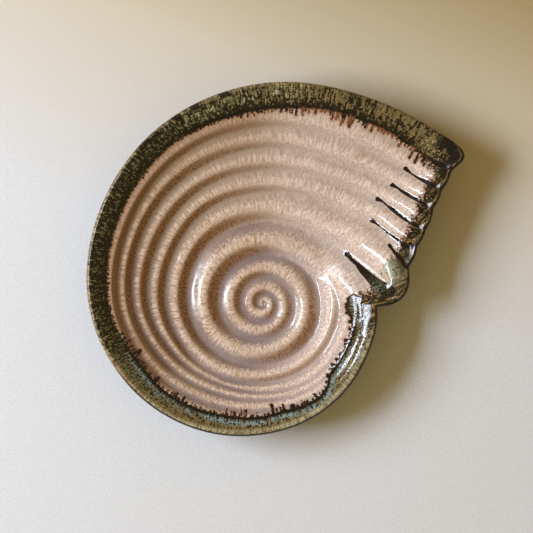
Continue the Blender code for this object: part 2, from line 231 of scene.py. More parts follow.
def relief(points):
    """(height, level) of the ridges and ribs above the bowl: the height at each point
    and the height of the crests about it, which runs on smoothly over the valleys."""
    turn, share = whorl(points)
    gap = curve_at(np.clip(turn + 1, 0, 5), SPIRAL) - np.where(
        turn > 0, curve_at(np.maximum(turn, 0), SPIRAL), 0)
    ridge = np.minimum((0.155 + 0.035 * step(turn, 1.3, 2.4)) * gap, 5.0)
    n = rib_number(np.maximum(turn, 3.0), share)
    outer = step(n, 0.7, 1.3)                # 0 on the first rib, 1 on the others
    crest = np.interp(n, np.arange(6) + 0.5, RIB_HEIGHT)
    crest = crest * (1 - outer + outer * (0.25 + 0.75 * step(turn, 3.12, 3.45)))
    second = outer * (1 - step(n, 1.8, 2.2))
    crest = crest * (1 - 0.75 * second * (1 - step(turn, 3.35, 3.43)))
    crest = crest * (1 - outer * (1 - step(turn, 2.98, 3.08)))
    crest = crest * (1 + (MOUTH_RIBS - 1) * step(turn, 3.72, 3.88))
    crest = crest * (1 - 0.15 * (1 - outer) * np.exp(-(((turn - 3.5) / 0.14) ** 2)))
    # a short groove splits the first rib where it meets the mouth
    split = np.interp(turn, (3.90, 3.93, 3.96, 4.0), (0.228, 0.232, 0.239, 0.25))
    cut = 2.0 * step(turn, 3.90, 3.95) * np.exp(-(((share - split) / 0.035) ** 2))
    last = step(turn, 2.86, 3.06)
    height = ridge * hump(share, 0.44) * (1 - last) + (
        crest * hump(n - np.floor(np.clip(n, 0, 5.999)), 0.47) ** 0.9 - cut) * last
    level = ridge * (1 - last) + crest * last
    beyond = RIB_HEIGHT[0] * (1 + (MOUTH_RIBS - 1) * step(turn + 1, 3.72, 3.88))
    beyond = 5.0 + (beyond - 5.0) * step(turn + 1, 2.86, 3.06)
    level = level + (beyond - level) * step(share, 0.5, 1.0) * (turn < 3)
    return height, level


def bowl(points):
    """(height, distance from the edge, from the rim, from the mouth) of the plain bowl."""
    d1, d2 = distance(points, RIM), distance(points, MOUTH)
    bed = np.where(inside(points, BED), 0.0, distance(points, BED, closed=True))
    q1, q2 = (np.where(d > LIP_R, np.sqrt((d - LIP_R) ** 2 + 4.0) - 2.0, 0.0)
              for d in (d1, d2))
    wide = bed + q1
    share = bed / np.maximum(wide, 1e-6)
    narrow = 1 - step(wide, 48, 76)          # where the wall is close to the floor
    side = share ** (1.5 - 0.2 * narrow + 0.7 * (1 - narrow) * (1 - step(d2, 25, 85)))
    side = side + 0.45 * narrow * (share * share * (3 - 2 * share) - side)
    reach = np.clip(bed + q2, *MOUTH_REACH)
    soft = 0.35                              # the rise begins softly, then runs straight
    end = np.hypot(np.clip(1 - q2 / reach, 0, 1), soft) - soft
    end = end / (math.hypot(1, soft) - soft)
    left = [np.maximum(1 - v, 1e-4) ** -3.0 for v in (side, end)]
    rise = 1 - (left[0] + left[1] - 1) ** (-1 / 3)   # the higher of the two, blended
    d = np.minimum(d1, d2)
    lip = np.sqrt(np.clip(1 - (np.clip(LIP_R - d, 0, LIP_R) / LIP_R) ** 2, 0, 1))
    return FLOOR + (HEIGHT - FLOOR) * rise - LIP_DROP * (1 - lip), d, d1, d2


def top_height(points):
    """The ribbed upper face. The ribs die out under the rim's lip; at the mouth their
    crests come level with it and the grooves notch it."""
    z, d, d1, d2 = bowl(points)
    height, level = relief(points)
    keep = step(d1, 3.0, 16.0) * (0.35 + 0.65 * step(d2, 1.0, 8.0)) * step(d, 0.0, 2.6)
    lift = keep * (height - level * (1 - step(d2, 2.0, 14.0)))
    room = np.maximum(HEIGHT - z, 1e-3)      # nothing stands higher than the lip
    over = np.maximum(lift, 0.0) / room
    return z + lift / (1 + over**4) ** 0.25


def under_height(points):
    """The smooth outside of the dish."""
    z, d, _, _ = bowl(points)
    slope = 1.0 + 0.22 * step(z, FLOOR + 2, HEIGHT - 6)
    thin = np.sqrt(np.clip(1 - (np.clip(3.0 - d, 0, 3.0) / 3.0) ** 2, 0, 1))
    return z - WALL * slope * thin


# ---------------------------------------------------------------- where the glazes lie
# Inner edge of the dark rim band: angle, radius. Degrees run counter-clockwise from +X.
BAND_EDGE = (
    (30, 175.0), (40, 174.6), (45, 173.9), (50, 171.5), (60, 167.4), (70, 164.2),
    (80, 159.4), (90, 156.2), (100, 153.0), (110, 150.5), (120, 148.5), (130, 144.1),
    (140, 140.1), (150, 136.0), (160, 132.8), (170, 128.8), (180, 125.6), (190, 120.8),
    (200, 113.5), (210, 109.5), (220, 107.1), (230, 103.0), (240, 99.0), (250, 95.0),
    (260, 92.6), (270, 90.2), (280, 86.9), (290, 87.3), (300, 86.9), (306, 84.0),
    (312, 77.3), (320, 74.9), (325, 74.1), (345, 74.1), (356, 65.5), (364, 66.5), (370, 80.0),
)
# How far the fringe runs down from that edge, and how wide its runs are.
FRINGE = (
    (36, 6.0, 1.1), (60, 7.5, 1.1), (82, 6.0, 1.1), (90, 3.0, 1.0), (104, 1.3, .8),
    (150, 1.0, .8), (190, 1.6, 1.0), (200, 4.5, 1.2), (216, 4.5, 1.2), (226, 2.5, 1.1),
    (240, 1.8, 1.0), (250, 3.8, .9), (270, 3.8, .9), (276, 6.5, 1.5), (286, 6.0, 1.5),
    (292, 2.2, 1.2), (310, 2.5, 1.2), (314, 4.0, 1.6), (330, 3.5, 1.6), (345, 3.5, 1.8),
    (358, 3.0, 1.4),
)
# Drips in the grooves: (x, y, half width), from the head down to the mouth.
DRIPS = (
    ((122.4, 123.7, 1.3), (126.1, 122.1, .8), (132.0, 118.7, .9), (136.8, 114.4, 2.0),
     (140.7, 112.5, 2.6), (146.1, 110.4, 2.1), (150.8, 109.1, 1.9)),
    ((114.1, 109.1, 1.9), (118.7, 105.1, .8), (124.0, 101.4, 1.0), (128.8, 99.1, 1.6),
     (135.4, 95.7, 1.9), (140.7, 93.8, 1.7), (143.4, 92.3, 1.6)),
    ((103.4, 96.0, 1.9), (107.4, 93.8, 1.0), (112.7, 89.8, 1.4), (117.4, 87.0, 1.6),
     (123.4, 83.7, 1.6), (128.8, 80.4, 1.5), (133.4, 77.7, 1.4), (136.7, 76.2, 1.4)),
    ((91.4, 84.7, 1.9), (95.4, 82.8, 1.0), (99.3, 79.4, .9), (103.4, 76.4, 1.7),
     (108.7, 72.4, 2.0), (114.1, 68.3, 2.0), (119.4, 65.0, 1.7), (125.4, 61.7, 1.4),
     (130.4, 60.9, 1.4)),
    ((87.2, 67.2, 1.9), (90.8, 64.5, .8), (95.2, 61.1, .8), (100.1, 56.8, 1.2),
     (105.6, 52.5, 1.4), (111.7, 48.1, 1.8), (117.3, 45.1, 1.8), (122.4, 45.7, 1.6)),
    ((101.0, 46.9, 1.7), (103.1, 43.9, 1.2), (106.3, 39.8, 1.6), (110.5, 35.8, 1.8),
     (114.2, 29.7, 2.0)),
    ((66.8, 40.5, 2.5), (70.4, 35.8, 1.6), (74.8, 32.1, 1.9), (79.7, 26.6, 3.0),
     (84.6, 21.7, 3.6), (89.6, 16.7, 4.4), (94.5, 12.5, 5.6), (100.6, 10.1, 5.0)),
)
DRIP_BEAD = 0.20       # height of a drip above the glaze about it
FRINGE_BEAD = 0.28     # and of the band's fringe
MOUTH_BAND = 13.0      # depth of the dark glaze along the mouth

RNG = np.random.default_rng(20)
MIDDLE_LOOP = np.vstack([rim_points(6.0), mouth_points(2.6)[:-1]])
MIDDLE = (MIDDLE_LOOP.max(0) + MIDDLE_LOOP.min(0)) / 2


def table_at(x, table, column=1):
    rows = np.array(table, float)
    return np.interp(x, rows[:, 0], rows[:, column])


def angle_of(points):
    """Degrees counter-clockwise from +X, from 33 to 393, so that the rim runs unbroken
    from the tip round to the mouth's foot."""
    a = np.degrees(np.arctan2(points[:, 1], points[:, 0]))
    return np.mod(a - 33.0, 360.0) + 33.0


def rim_angle(points):
    """As angle_of, but for points near the mouth's foot, just past a whole turn."""
    a = angle_of(points)
    near = (np.hypot(*points.T) < 120.0) & (a < 60.0)
    return np.where(near, a + 360.0, a)


def across(points):
    """Unit vectors across the ribs, pointing outwards."""
    turn, share = whorl(points)
    t = np.maximum(turn, 0.0)
    h = 0.01
    low = (curve_at(t + h, SPIRAL) - curve_at(np.maximum(t - h, 0), SPIRAL)) / (2 * h)
    high = (curve_at(np.minimum(t + 1 + h, 5), SPIRAL) - curve_at(t + 1 - h, SPIRAL)) / (2 * h)
    slope = -(low + share * (high - low)) / (2 * math.pi)
    r = np.maximum(np.hypot(*points.T), 2.0)
    e = points / np.maximum(np.hypot(*points.T), 1e-6)[:, None]
    v = e - (slope / r)[:, None] * np.c_[-e[:, 1], e[:, 0]]
    return v / np.hypot(*v.T)[:, None]


def capsule(points, a, b, ra, rb):
    """Depth inside a tapered capsule from a to b, negative outside."""
    d = b - a
    t = np.clip(((points - a) @ d) / max(d @ d, 1e-9), 0, 1)
    return ra + (rb - ra) * t - np.hypot(*(points - a - t[:, None] * d).T)


def band_base(points, d2):
    """Depth inside the dark glaze before its fringe, in millimetres."""
    a = rim_angle(points)
    r = np.hypot(*points.T)
    rim = r - table_at(a, BAND_EDGE)
    closing = np.where(a < 425, (366.0 - a) * 1.3 + 1.2 * np.sin(r * 0.9), 50.0)
    rim = np.minimum(rim, closing)
    wave = 1.6 * np.sin(points[:, 0] * 0.41 + 1.0) * np.sin(points[:, 1] * 0.33)
    wave = wave + 1.1 * np.sin(points[:, 0] * 1.3 + points[:, 1] * 0.7)
    x, y = points.T
    wave = wave + 8.5 * np.exp(-(((x - 95.0) / 11.0) ** 2) - (((y - 27.0) / 12.0) ** 2))
    mouth = MOUTH_BAND + wave - d2
    return np.maximum(rim, mouth)


def across_mouth(p):
    """The way out through the mouth, roughly along the ribs."""
    a = math.radians(-24.0 - 6.0 * (p[1] - 60.0) / 60.0)
    return np.array([math.cos(a), math.sin(a)])


def fringe_runs():
    """The runs of the fringe, as capsules: along the rim band and along the mouth."""
    runs = []
    angle = 37.0
    swell = 0.0
    while angle < 362.0:
        swell = 0.72 * swell + RNG.normal(0, 0.34)
        length = table_at(angle, FRINGE, 1) * float(np.clip(0.75 + swell, 0.15, 1.5))
        width = table_at(angle, FRINGE, 2)
        radius = table_at(angle, BAND_EDGE)
        a = math.radians(angle)
        start = np.array([math.cos(a), math.sin(a)]) * (radius + 2.5)
        out = across(start[None])[0]
        out = out + RNG.normal(0, 0.10) * np.array([-out[1], out[0]])
        share = RNG.random() ** 1.3
        reach = 2.5 + length * (0.1 + 0.95 * share)
        w = width * RNG.uniform(0.55, 1.3)
        runs.append((start, start - out * reach, w * 0.9, w * RNG.uniform(0.7, 1.2)))
        angle += math.degrees((w * 2.0 * RNG.uniform(0.7, 1.7) + 0.3) / radius)
    # short ragged runs along the mouth, up the ribs
    line = mouth_points(2.3)
    for p in line[4:]:
        start = p - across_mouth(p) * (MOUTH_BAND - 1.5)
        end = start - across_mouth(p) * RNG.uniform(0.3, 2.5)
        w = RNG.uniform(0.8, 2.0)
        runs.append((start, end, w, w * 0.8))
    return runs


def drip_depth(points):
    best = np.full(len(points), -50.0)
    for drip in DRIPS:
        rows = np.array(drip)
        for a, b in zip(rows, rows[1:]):
            near = (np.abs(points - (a[:2] + b[:2]) / 2).max(1) < 14.0)
            if near.any():
                d = capsule(points[near], a[:2], b[:2], a[2], b[2])
                best[near] = np.maximum(best[near], d)
    return best


def band_depth(points, d2, runs):
    base = band_base(points, d2)
    out = base.copy()
    for a, b, ra, rb in runs:
        near = np.abs(points - (a + b) / 2).max(1) < 12.0
        if near.any():
            out[near] = np.maximum(out[near], capsule(points[near], a, b, ra, rb))
    return out, base


# ---------------------------------------------------------------- the fine mesh
def ring_inside(loop, by):
    """Points of the loop moved inwards, without those that crowd in a notch."""
    before, after = np.roll(loop, 1, 0), np.roll(loop, -1, 0)
    t = after - before
    t /= np.maximum(np.hypot(*t.T), 1e-9)[:, None]
    moved = loop + np.c_[t[:, 1], -t[:, 0]] * by
    keep = distance(moved, loop, closed=True) > by * 0.93
    return moved[keep]


def lattice(pitch, box, turn=0.0):
    (x0, y0), (x1, y1) = box
    nx, ny = int((x1 - x0) / pitch) + 2, int((y1 - y0) / (pitch * 0.866)) + 2
    i, j = np.meshgrid(np.arange(nx), np.arange(ny))
    return np.c_[(x0 + (i + 0.5 * (j % 2)) * pitch).ravel(), (y0 + j * pitch * 0.866).ravel()]


def triangles(loop, inner):
    points = np.vstack([loop, inner])
    n = len(loop)
    edges = [(i, (i + 1) % n) for i in range(n)]
    found = delaunay_2d_cdt([Vector(p) for p in points], edges, [], 1, 1e-6)
    plan = np.array([tuple(v) for v in found[0]])
    return plan, np.array([list(f) for f in found[2]])


def upper_points(loop):
    box = (loop.min(0), loop.max(0))
    plain = np.vstack([RIM, MOUTH[:-1]])
    def zone(points):
        """0, 1 or 2: how finely the place has to be drawn; -1 outside."""
        level = np.full(len(points), -1)
        ok = inside(points, plain)
        p = points[ok]
        d1, d2 = distance(p, RIM), distance(p, MOUTH)
        base = band_base(p, d2)
        reach = table_at(rim_angle(p), FRINGE, 1)
        lv = np.where((base > -(reach + 2.5)) & (base < 2.5), 1, 0)
        lv = np.where(d2 < 26, 1, lv)
        lv = np.where(drip_depth(p) > -1.6, 2, lv)
        level[ok] = np.where(np.minimum(d1, d2) < 4.4, -1, lv)
        return level
    coarse, fine, finest = lattice(1.5, box), lattice(0.8, box), lattice(0.5, box)
    past = np.hypot(*fine.T) - table_at(rim_angle(fine), BAND_EDGE)
    fine = fine[((past > -12) & (past < 3)) | ((fine[:, 0] > 55) & (fine[:, 1] > -12))]
    finest = finest[drip_depth(finest) > -1.6]
    parts = [q[zone(q) == k] for k, q in enumerate((coarse, fine, finest))]
    rings = [ring_inside(loop, by) for by in (0.15, 0.45, 0.9, 1.5, 2.2, 3.0, 3.8)]
    return np.vstack(parts + rings)


def lower_points(loop):
    box = (loop.min(0), loop.max(0))
    q = lattice(3.0, box)
    q = q[inside(q, np.vstack([RIM, MOUTH[:-1]]))]
    d = np.minimum(distance(q, RIM), distance(q, MOUTH))
    centre = np.array(FOOT_CENTRE)
    off = np.abs(np.hypot(*(q - centre).T) - FOOT_R)
    q = q[(d > 5.5) & (off > 9.5)]
    circles = []
    for by in (0.0, 1.7, 2.2, 2.5, 2.8, 3.2, 3.8, 4.6, 5.6, 6.8, 8.2):
        for side in ((1, -1) if by else (1,)):
            r = FOOT_R + side * by
            a = np.linspace(0, 2 * math.pi, int(2 * math.pi * r / 1.9), endpoint=False)
            circles.append(centre + r * np.c_[np.cos(a), np.sin(a)])
    rings = [ring_inside(loop, by) for by in (0.2, 0.6, 1.2, 2.0, 3.0, 4.2)]
    return np.vstack([q, *circles, *rings])


def foot_profile(points):
    """Height of the turned foot's faces, and how far each point is from its middle."""
    off = np.abs(np.hypot(*(points - np.array(FOOT_CENTRE)).T) - FOOT_R)
    lean = off - FOOT_W / 2 + 0.5
    rise = np.where(lean > 0, lean * lean / (FOOT_SLOPE * (lean + 0.9)), 0.0)
    return rise, off


def lower_height(points):
    z = under_height(points)
    foot, off = foot_profile(points)
    k = 1.6                                   # the fillet where the foot meets the wall
    h = np.clip(0.5 + 0.5 * (foot - z) / k, 0, 1)
    return np.maximum(foot + (z - foot) * h - k * h * (1 - h), 0.0), off


def relief_slope(points, direction):
    """How steeply the ribs alone fall in a direction of the plan."""
    e = 0.6
    ahead, behind = (relief(points + s * e * direction)[0] for s in (1, -1))
    return (behind - ahead) / (2 * e)


def same_as(points, loop):
    """Which of the points are the loop's own."""
    own = np.zeros(len(points), bool)
    for x, y in loop:
        own |= (abs(points[:, 0] - x) < 2e-3) & (abs(points[:, 1] - y) < 2e-3)
    return own


def build_body():
    loop = np.vstack([rim_points(1.0), mouth_points(0.8)[:-1]])
    runs = fringe_runs()
    top, top_faces = triangles(loop, upper_points(loop))
    low, low_faces = triangles(loop, lower_points(loop))

    z_top = top_height(top)
    d1, d2 = distance(top, RIM), distance(top, MOUTH)
    d = np.minimum(d1, d2)
    band, base = band_depth(top, d2, runs)
    drip = drip_depth(top)
    on_edge = same_as(top, loop)
    bead = DRIP_BEAD * np.sqrt(np.clip(1 - (1 - np.clip(drip / 1.7, 0, 1)) ** 2, 0, 1))
    thick = FRINGE_BEAD * step(band, -0.25, 1.0)
    z_top = z_top + np.where(on_edge, 0.0, np.maximum(bead, thick) * step(d, 0.2, 3.0))
    z_top[on_edge] = HEIGHT - LIP_DROP

    z_low, foot_off = lower_height(low)
    low_edge = same_as(low, loop)
    z_low[low_edge] = HEIGHT - LIP_DROP

    # one closed body: the two sheets share the outline
    count = len(top)
    index = np.arange(len(low)) + count
    rim_top = np.flatnonzero(on_edge)
    for i in np.flatnonzero(low_edge):
        j = rim_top[np.argmin(np.hypot(*(top[rim_top] - low[i]).T))]
        index[i] = j
    used = index >= count
    renumber = np.cumsum(used) - 1 + count
    index = np.where(used, renumber, index)
    plan = np.vstack([top, low[used]])
    z = np.r_[z_top, z_low[used]]
    faces = np.vstack([top_faces, index[low_faces][:, ::-1]])
    under = np.r_[np.zeros(count), np.ones(int(used.sum()))]

    mesh = bpy.data.meshes.new("platter_body")
    co = np.c_[(plan - MIDDLE) * 0.001, z * 0.001]
    mesh.vertices.add(len(co))
    mesh.vertices.foreach_set("co", co.astype(np.float32).ravel())
    mesh.loops.add(faces.size)
    mesh.loops.foreach_set("vertex_index", faces.astype(np.int32).ravel())
    mesh.polygons.add(len(faces))
    mesh.polygons.foreach_set("loop_start", np.arange(0, faces.size, 3, dtype=np.int32))
    mesh.update(calc_edges=True)
    mesh.validate()
    mesh.shade_smooth()

    # where each glaze lies, for the material
    turn, share = whorl(plan)
    n = rib_number(np.maximum(turn, 3.0), share)
    last = step(turn, 2.86, 3.06)
    crest = (hump(share, 0.44) * (1 - last)
             + hump(n - np.floor(np.clip(n, 0, 5.999)), 0.47) * last)
    # painted shade: how steeply each place falls away from the light, toward the lower right; the brown flanks are
    # painted from it
    away = np.array([math.cos(math.radians(-27)), math.sin(math.radians(-27))])
    e = 1.0
    fall = (bowl(plan - e * away)[0] - bowl(plan + e * away)[0]) / (2 * e)
    shade_flank = relief_slope(plan, away) + 0.4 * fall
    a = rim_angle(plan)
    pd1, pd2 = distance(plan, RIM), distance(plan, MOUTH)
    full_band, full_base = band_depth(plan, pd2, runs)
    out = across(plan)
    def put(name, values, kind="FLOAT"):
        layer = mesh.attributes.new(name, kind, "POINT")
        key = "value" if kind == "FLOAT" else "vector"
        layer.data.foreach_set(key, np.ascontiguousarray(values, np.float32).ravel())
    put("band", np.clip(full_band, -30, 40))
    put("drip", np.clip(drip_depth(plan), -10, 10))
    put("edge", np.clip(np.minimum(pd1, pd2), 0, 60))
    put("mouth", np.clip(pd2, 0, 80))
    put("crest", crest)
    put("shade_flank", shade_flank)
    put("across", np.c_[out, np.zeros(len(out))], "FLOAT_VECTOR")
    put("under", under)
    put("foot", np.r_[np.full(count, 50.0), foot_off[used]])
    put("teal", step(a, 192, 215) * (1 - step(a, 322, 336)))
    put("pale", np.exp(-(((a - 100) / 14) ** 2)) + 0.8 * np.exp(-(((a - 84) / 5) ** 2)))
    put("dark", np.maximum(step(a, 108, 124) * (1 - step(a, 186, 206)),
                           0.8 * step(22 - pd2, 0, 8)))
    put("gold", (1 - step(a, 74, 96)))
    # where the lip's outer rounding faces away from the light, on the lower and right sides and along the mouth; a
    # black line is painted there as shade
    put("line", np.maximum(step(a, 196, 214), step(12 - pd2, 0, 8)))
    put("red", np.maximum(0.8 * (1 - step(a, 76, 92)) * step(pd2, 12, 24),
                          0.35 * step(26 - pd2, 0, 8)))
    tip_at = plan - np.array([158.0, 119.0])
    put("tip", step(27 - np.hypot(*tip_at.T), 0, 9))
    put("side", n - np.floor(np.clip(n, 0, 5.999)))
    lobe = plan - np.array([98.0, 25.5])
    put("lobe", np.exp(-((lobe[:, 0] / 11.0) ** 2) - ((lobe[:, 1] / 11.0) ** 2)))
    put("wide_lip", step(a, 232, 262) * (1 - step(a, 332, 346)))
    foot_of = plan - np.array([89.0, 12.0])
    put("marble", np.exp(-((foot_of[:, 0] / 10.0) ** 2) - ((foot_of[:, 1] / 8.0) ** 2)))
    # the upper left: its olive band and warmer lip are the glaze's own colour; the darker, browner inside wall there
    # is painted shade
    put("left_glaze_and_shade", step(a, 78, 98) * (1 - step(a, 208, 226)))
    put("bare_lip", step(a, 82, 90) * (1 - step(a, 126, 136)))
    put("inner", (1 - step(a, 108, 122)) * step(pd2, 16, 30))
    put("near_tip", step(42 - np.hypot(*tip_at.T), 0, 14) * (1 - step(30 - pd2, 12, 24)))
    # places where the glaze set less glossy: (x, y, half width, half height)
    calm = np.zeros(len(plan))
    for x, y, w, h in ((57, 27, 15, 7), (-48, 36, 8, 9), (-51, 26, 7, 6), (-53, -5, 7, 6), (-29, 19, 6, 7),
                       (-31, -3, 6, 5), (33, -19, 8, 9), (13.5, -4.5, 5, 5.5), (28, -6, 4, 6)):
        spot = plan - np.array([x, y])
        calm = np.maximum(calm, np.exp(-((spot[:, 0] / w) ** 2) - ((spot[:, 1] / h) ** 2)))
    put("calm", calm)
    # the glaze is evener over the last ribs and at the lower right, and the painted shade on the flanks is fainter
    # there
    even = np.maximum(0.75 * step(turn, 3.62, 3.82), 0.55 * step(turn, 2.95, 3.05) * (1 - step(turn, 3.14, 3.3)))
    even = np.maximum(even, 0.7 * step(turn, 2.72, 2.86) * (1 - step(turn, 3.1, 3.2)))
    put("even", even)
    put("warmth", step(turn, 3.45, 3.7))
    body = bpy.data.objects.new("platter_body", mesh)
    bpy.context.scene.collection.objects.link(body)
    return body


# ---------------------------------------------------------------- materials
def linear(r, g, b):
    """Linear colour from 0 to 255 display values."""
    def one(c):
        c /= 255.0
        return c / 12.92 if c <= 0.04045 else ((c + 0.055) / 1.055) ** 2.4
    return (one(r), one(g), one(b), 1.0)


class Graph:
    """Short words for the nodes of one material."""

    def __init__(self, name):
        self.mat = bpy.data.materials.new(name)
        self.mat.use_nodes = True
        self.tree = self.mat.node_tree
        self.shader = self.tree.nodes["Principled BSDF"]
        self.kept = {}

    def set(self, socket, value):
        if isinstance(value, bpy.types.NodeSocket):
            self.tree.links.new(value, socket)
        else:
            socket.default_value = value

    def node(self, kind, **settings):
        made = self.tree.nodes.new(kind)
        for key, value in settings.items():
            setattr(made, key, value)
        return made

    def math(self, operation, a, b=0.0, c=0.0, clamp=False):
        made = self.node("ShaderNodeMath", operation=operation, use_clamp=clamp)
        for socket, value in zip(made.inputs, (a, b, c)):
            self.set(socket, value)
        return made.outputs[0]

    def add(self, a, b):
        return self.math("ADD", a, b)

    def mul(self, a, b):
        return self.math("MULTIPLY", a, b)

    def ramp(self, x, a, b, low=0.0, high=1.0, kind="SMOOTHSTEP"):
        made = self.node("ShaderNodeMapRange", interpolation_type=kind, clamp=True)
        for key, value in (("Value", x), ("From Min", a), ("From Max", b),
                           ("To Min", low), ("To Max", high)):
            self.set(made.inputs[key], value)
        return made.outputs["Result"]

    def mix(self, factor, a, b, blend="MIX"):
        made = self.node("ShaderNodeMix", data_type="RGBA", blend_type=blend)
        self.set(made.inputs[0], factor)
        self.set(made.inputs[6], a)
        self.set(made.inputs[7], b)
        return made.outputs[2]

    def between(self, factor, a, b):
        """A plain number between two."""
        made = self.node("ShaderNodeMix", data_type="FLOAT")
        for k, value in ((0, factor), (2, a), (3, b)):
            self.set(made.inputs[k], value)
        return made.outputs[0]

    def attribute(self, name, vector=False):
        if name not in self.kept:
            self.kept[name] = self.node("ShaderNodeAttribute", attribute_name=name)
        return self.kept[name].outputs["Vector" if vector else "Fac"]

    def place(self):
        """The point in millimetres."""
        if "place" not in self.kept:
            self.kept["place"] = self.scaled(
                self.node("ShaderNodeTexCoord").outputs["Object"], 1000.0)
        return self.kept["place"]

    def scaled(self, vector, by):
        made = self.node("ShaderNodeVectorMath", operation="SCALE")
        self.set(made.inputs[0], vector)
        self.set(made.inputs["Scale"], by)
        return made.outputs[0]

    def moved(self, vector, by):
        made = self.node("ShaderNodeVectorMath", operation="ADD")
        self.set(made.inputs[0], vector)
        self.set(made.inputs[1], by)
        return made.outputs[0]

    def noise(self, vector, scale, detail=1.0, rough=0.5):
        made = self.node("ShaderNodeTexNoise", noise_dimensions="3D")
        for key, value in (("Vector", vector), ("Scale", scale), ("Detail", detail),
                           ("Roughness", rough)):
            self.set(made.inputs[key], value)
        return made.outputs["Fac"]

    def streaks(self, scale, reach, detail=0.0, taps=5, shift=0.0):
        """Noise drawn out along the way across the ribs: 0 to 1, about a half."""
        start = self.moved(self.place(), (shift, shift, 0.0)) if shift else self.place()
        out = self.attribute("across", vector=True)
        total = None
        for k in range(taps):
            v = self.moved(start, self.scaled(out, (k / (taps - 1) - 0.5) * reach))
            one = self.noise(v, scale, detail)
            total = one if total is None else self.add(total, one)
        return self.mul(total, 1.0 / taps)


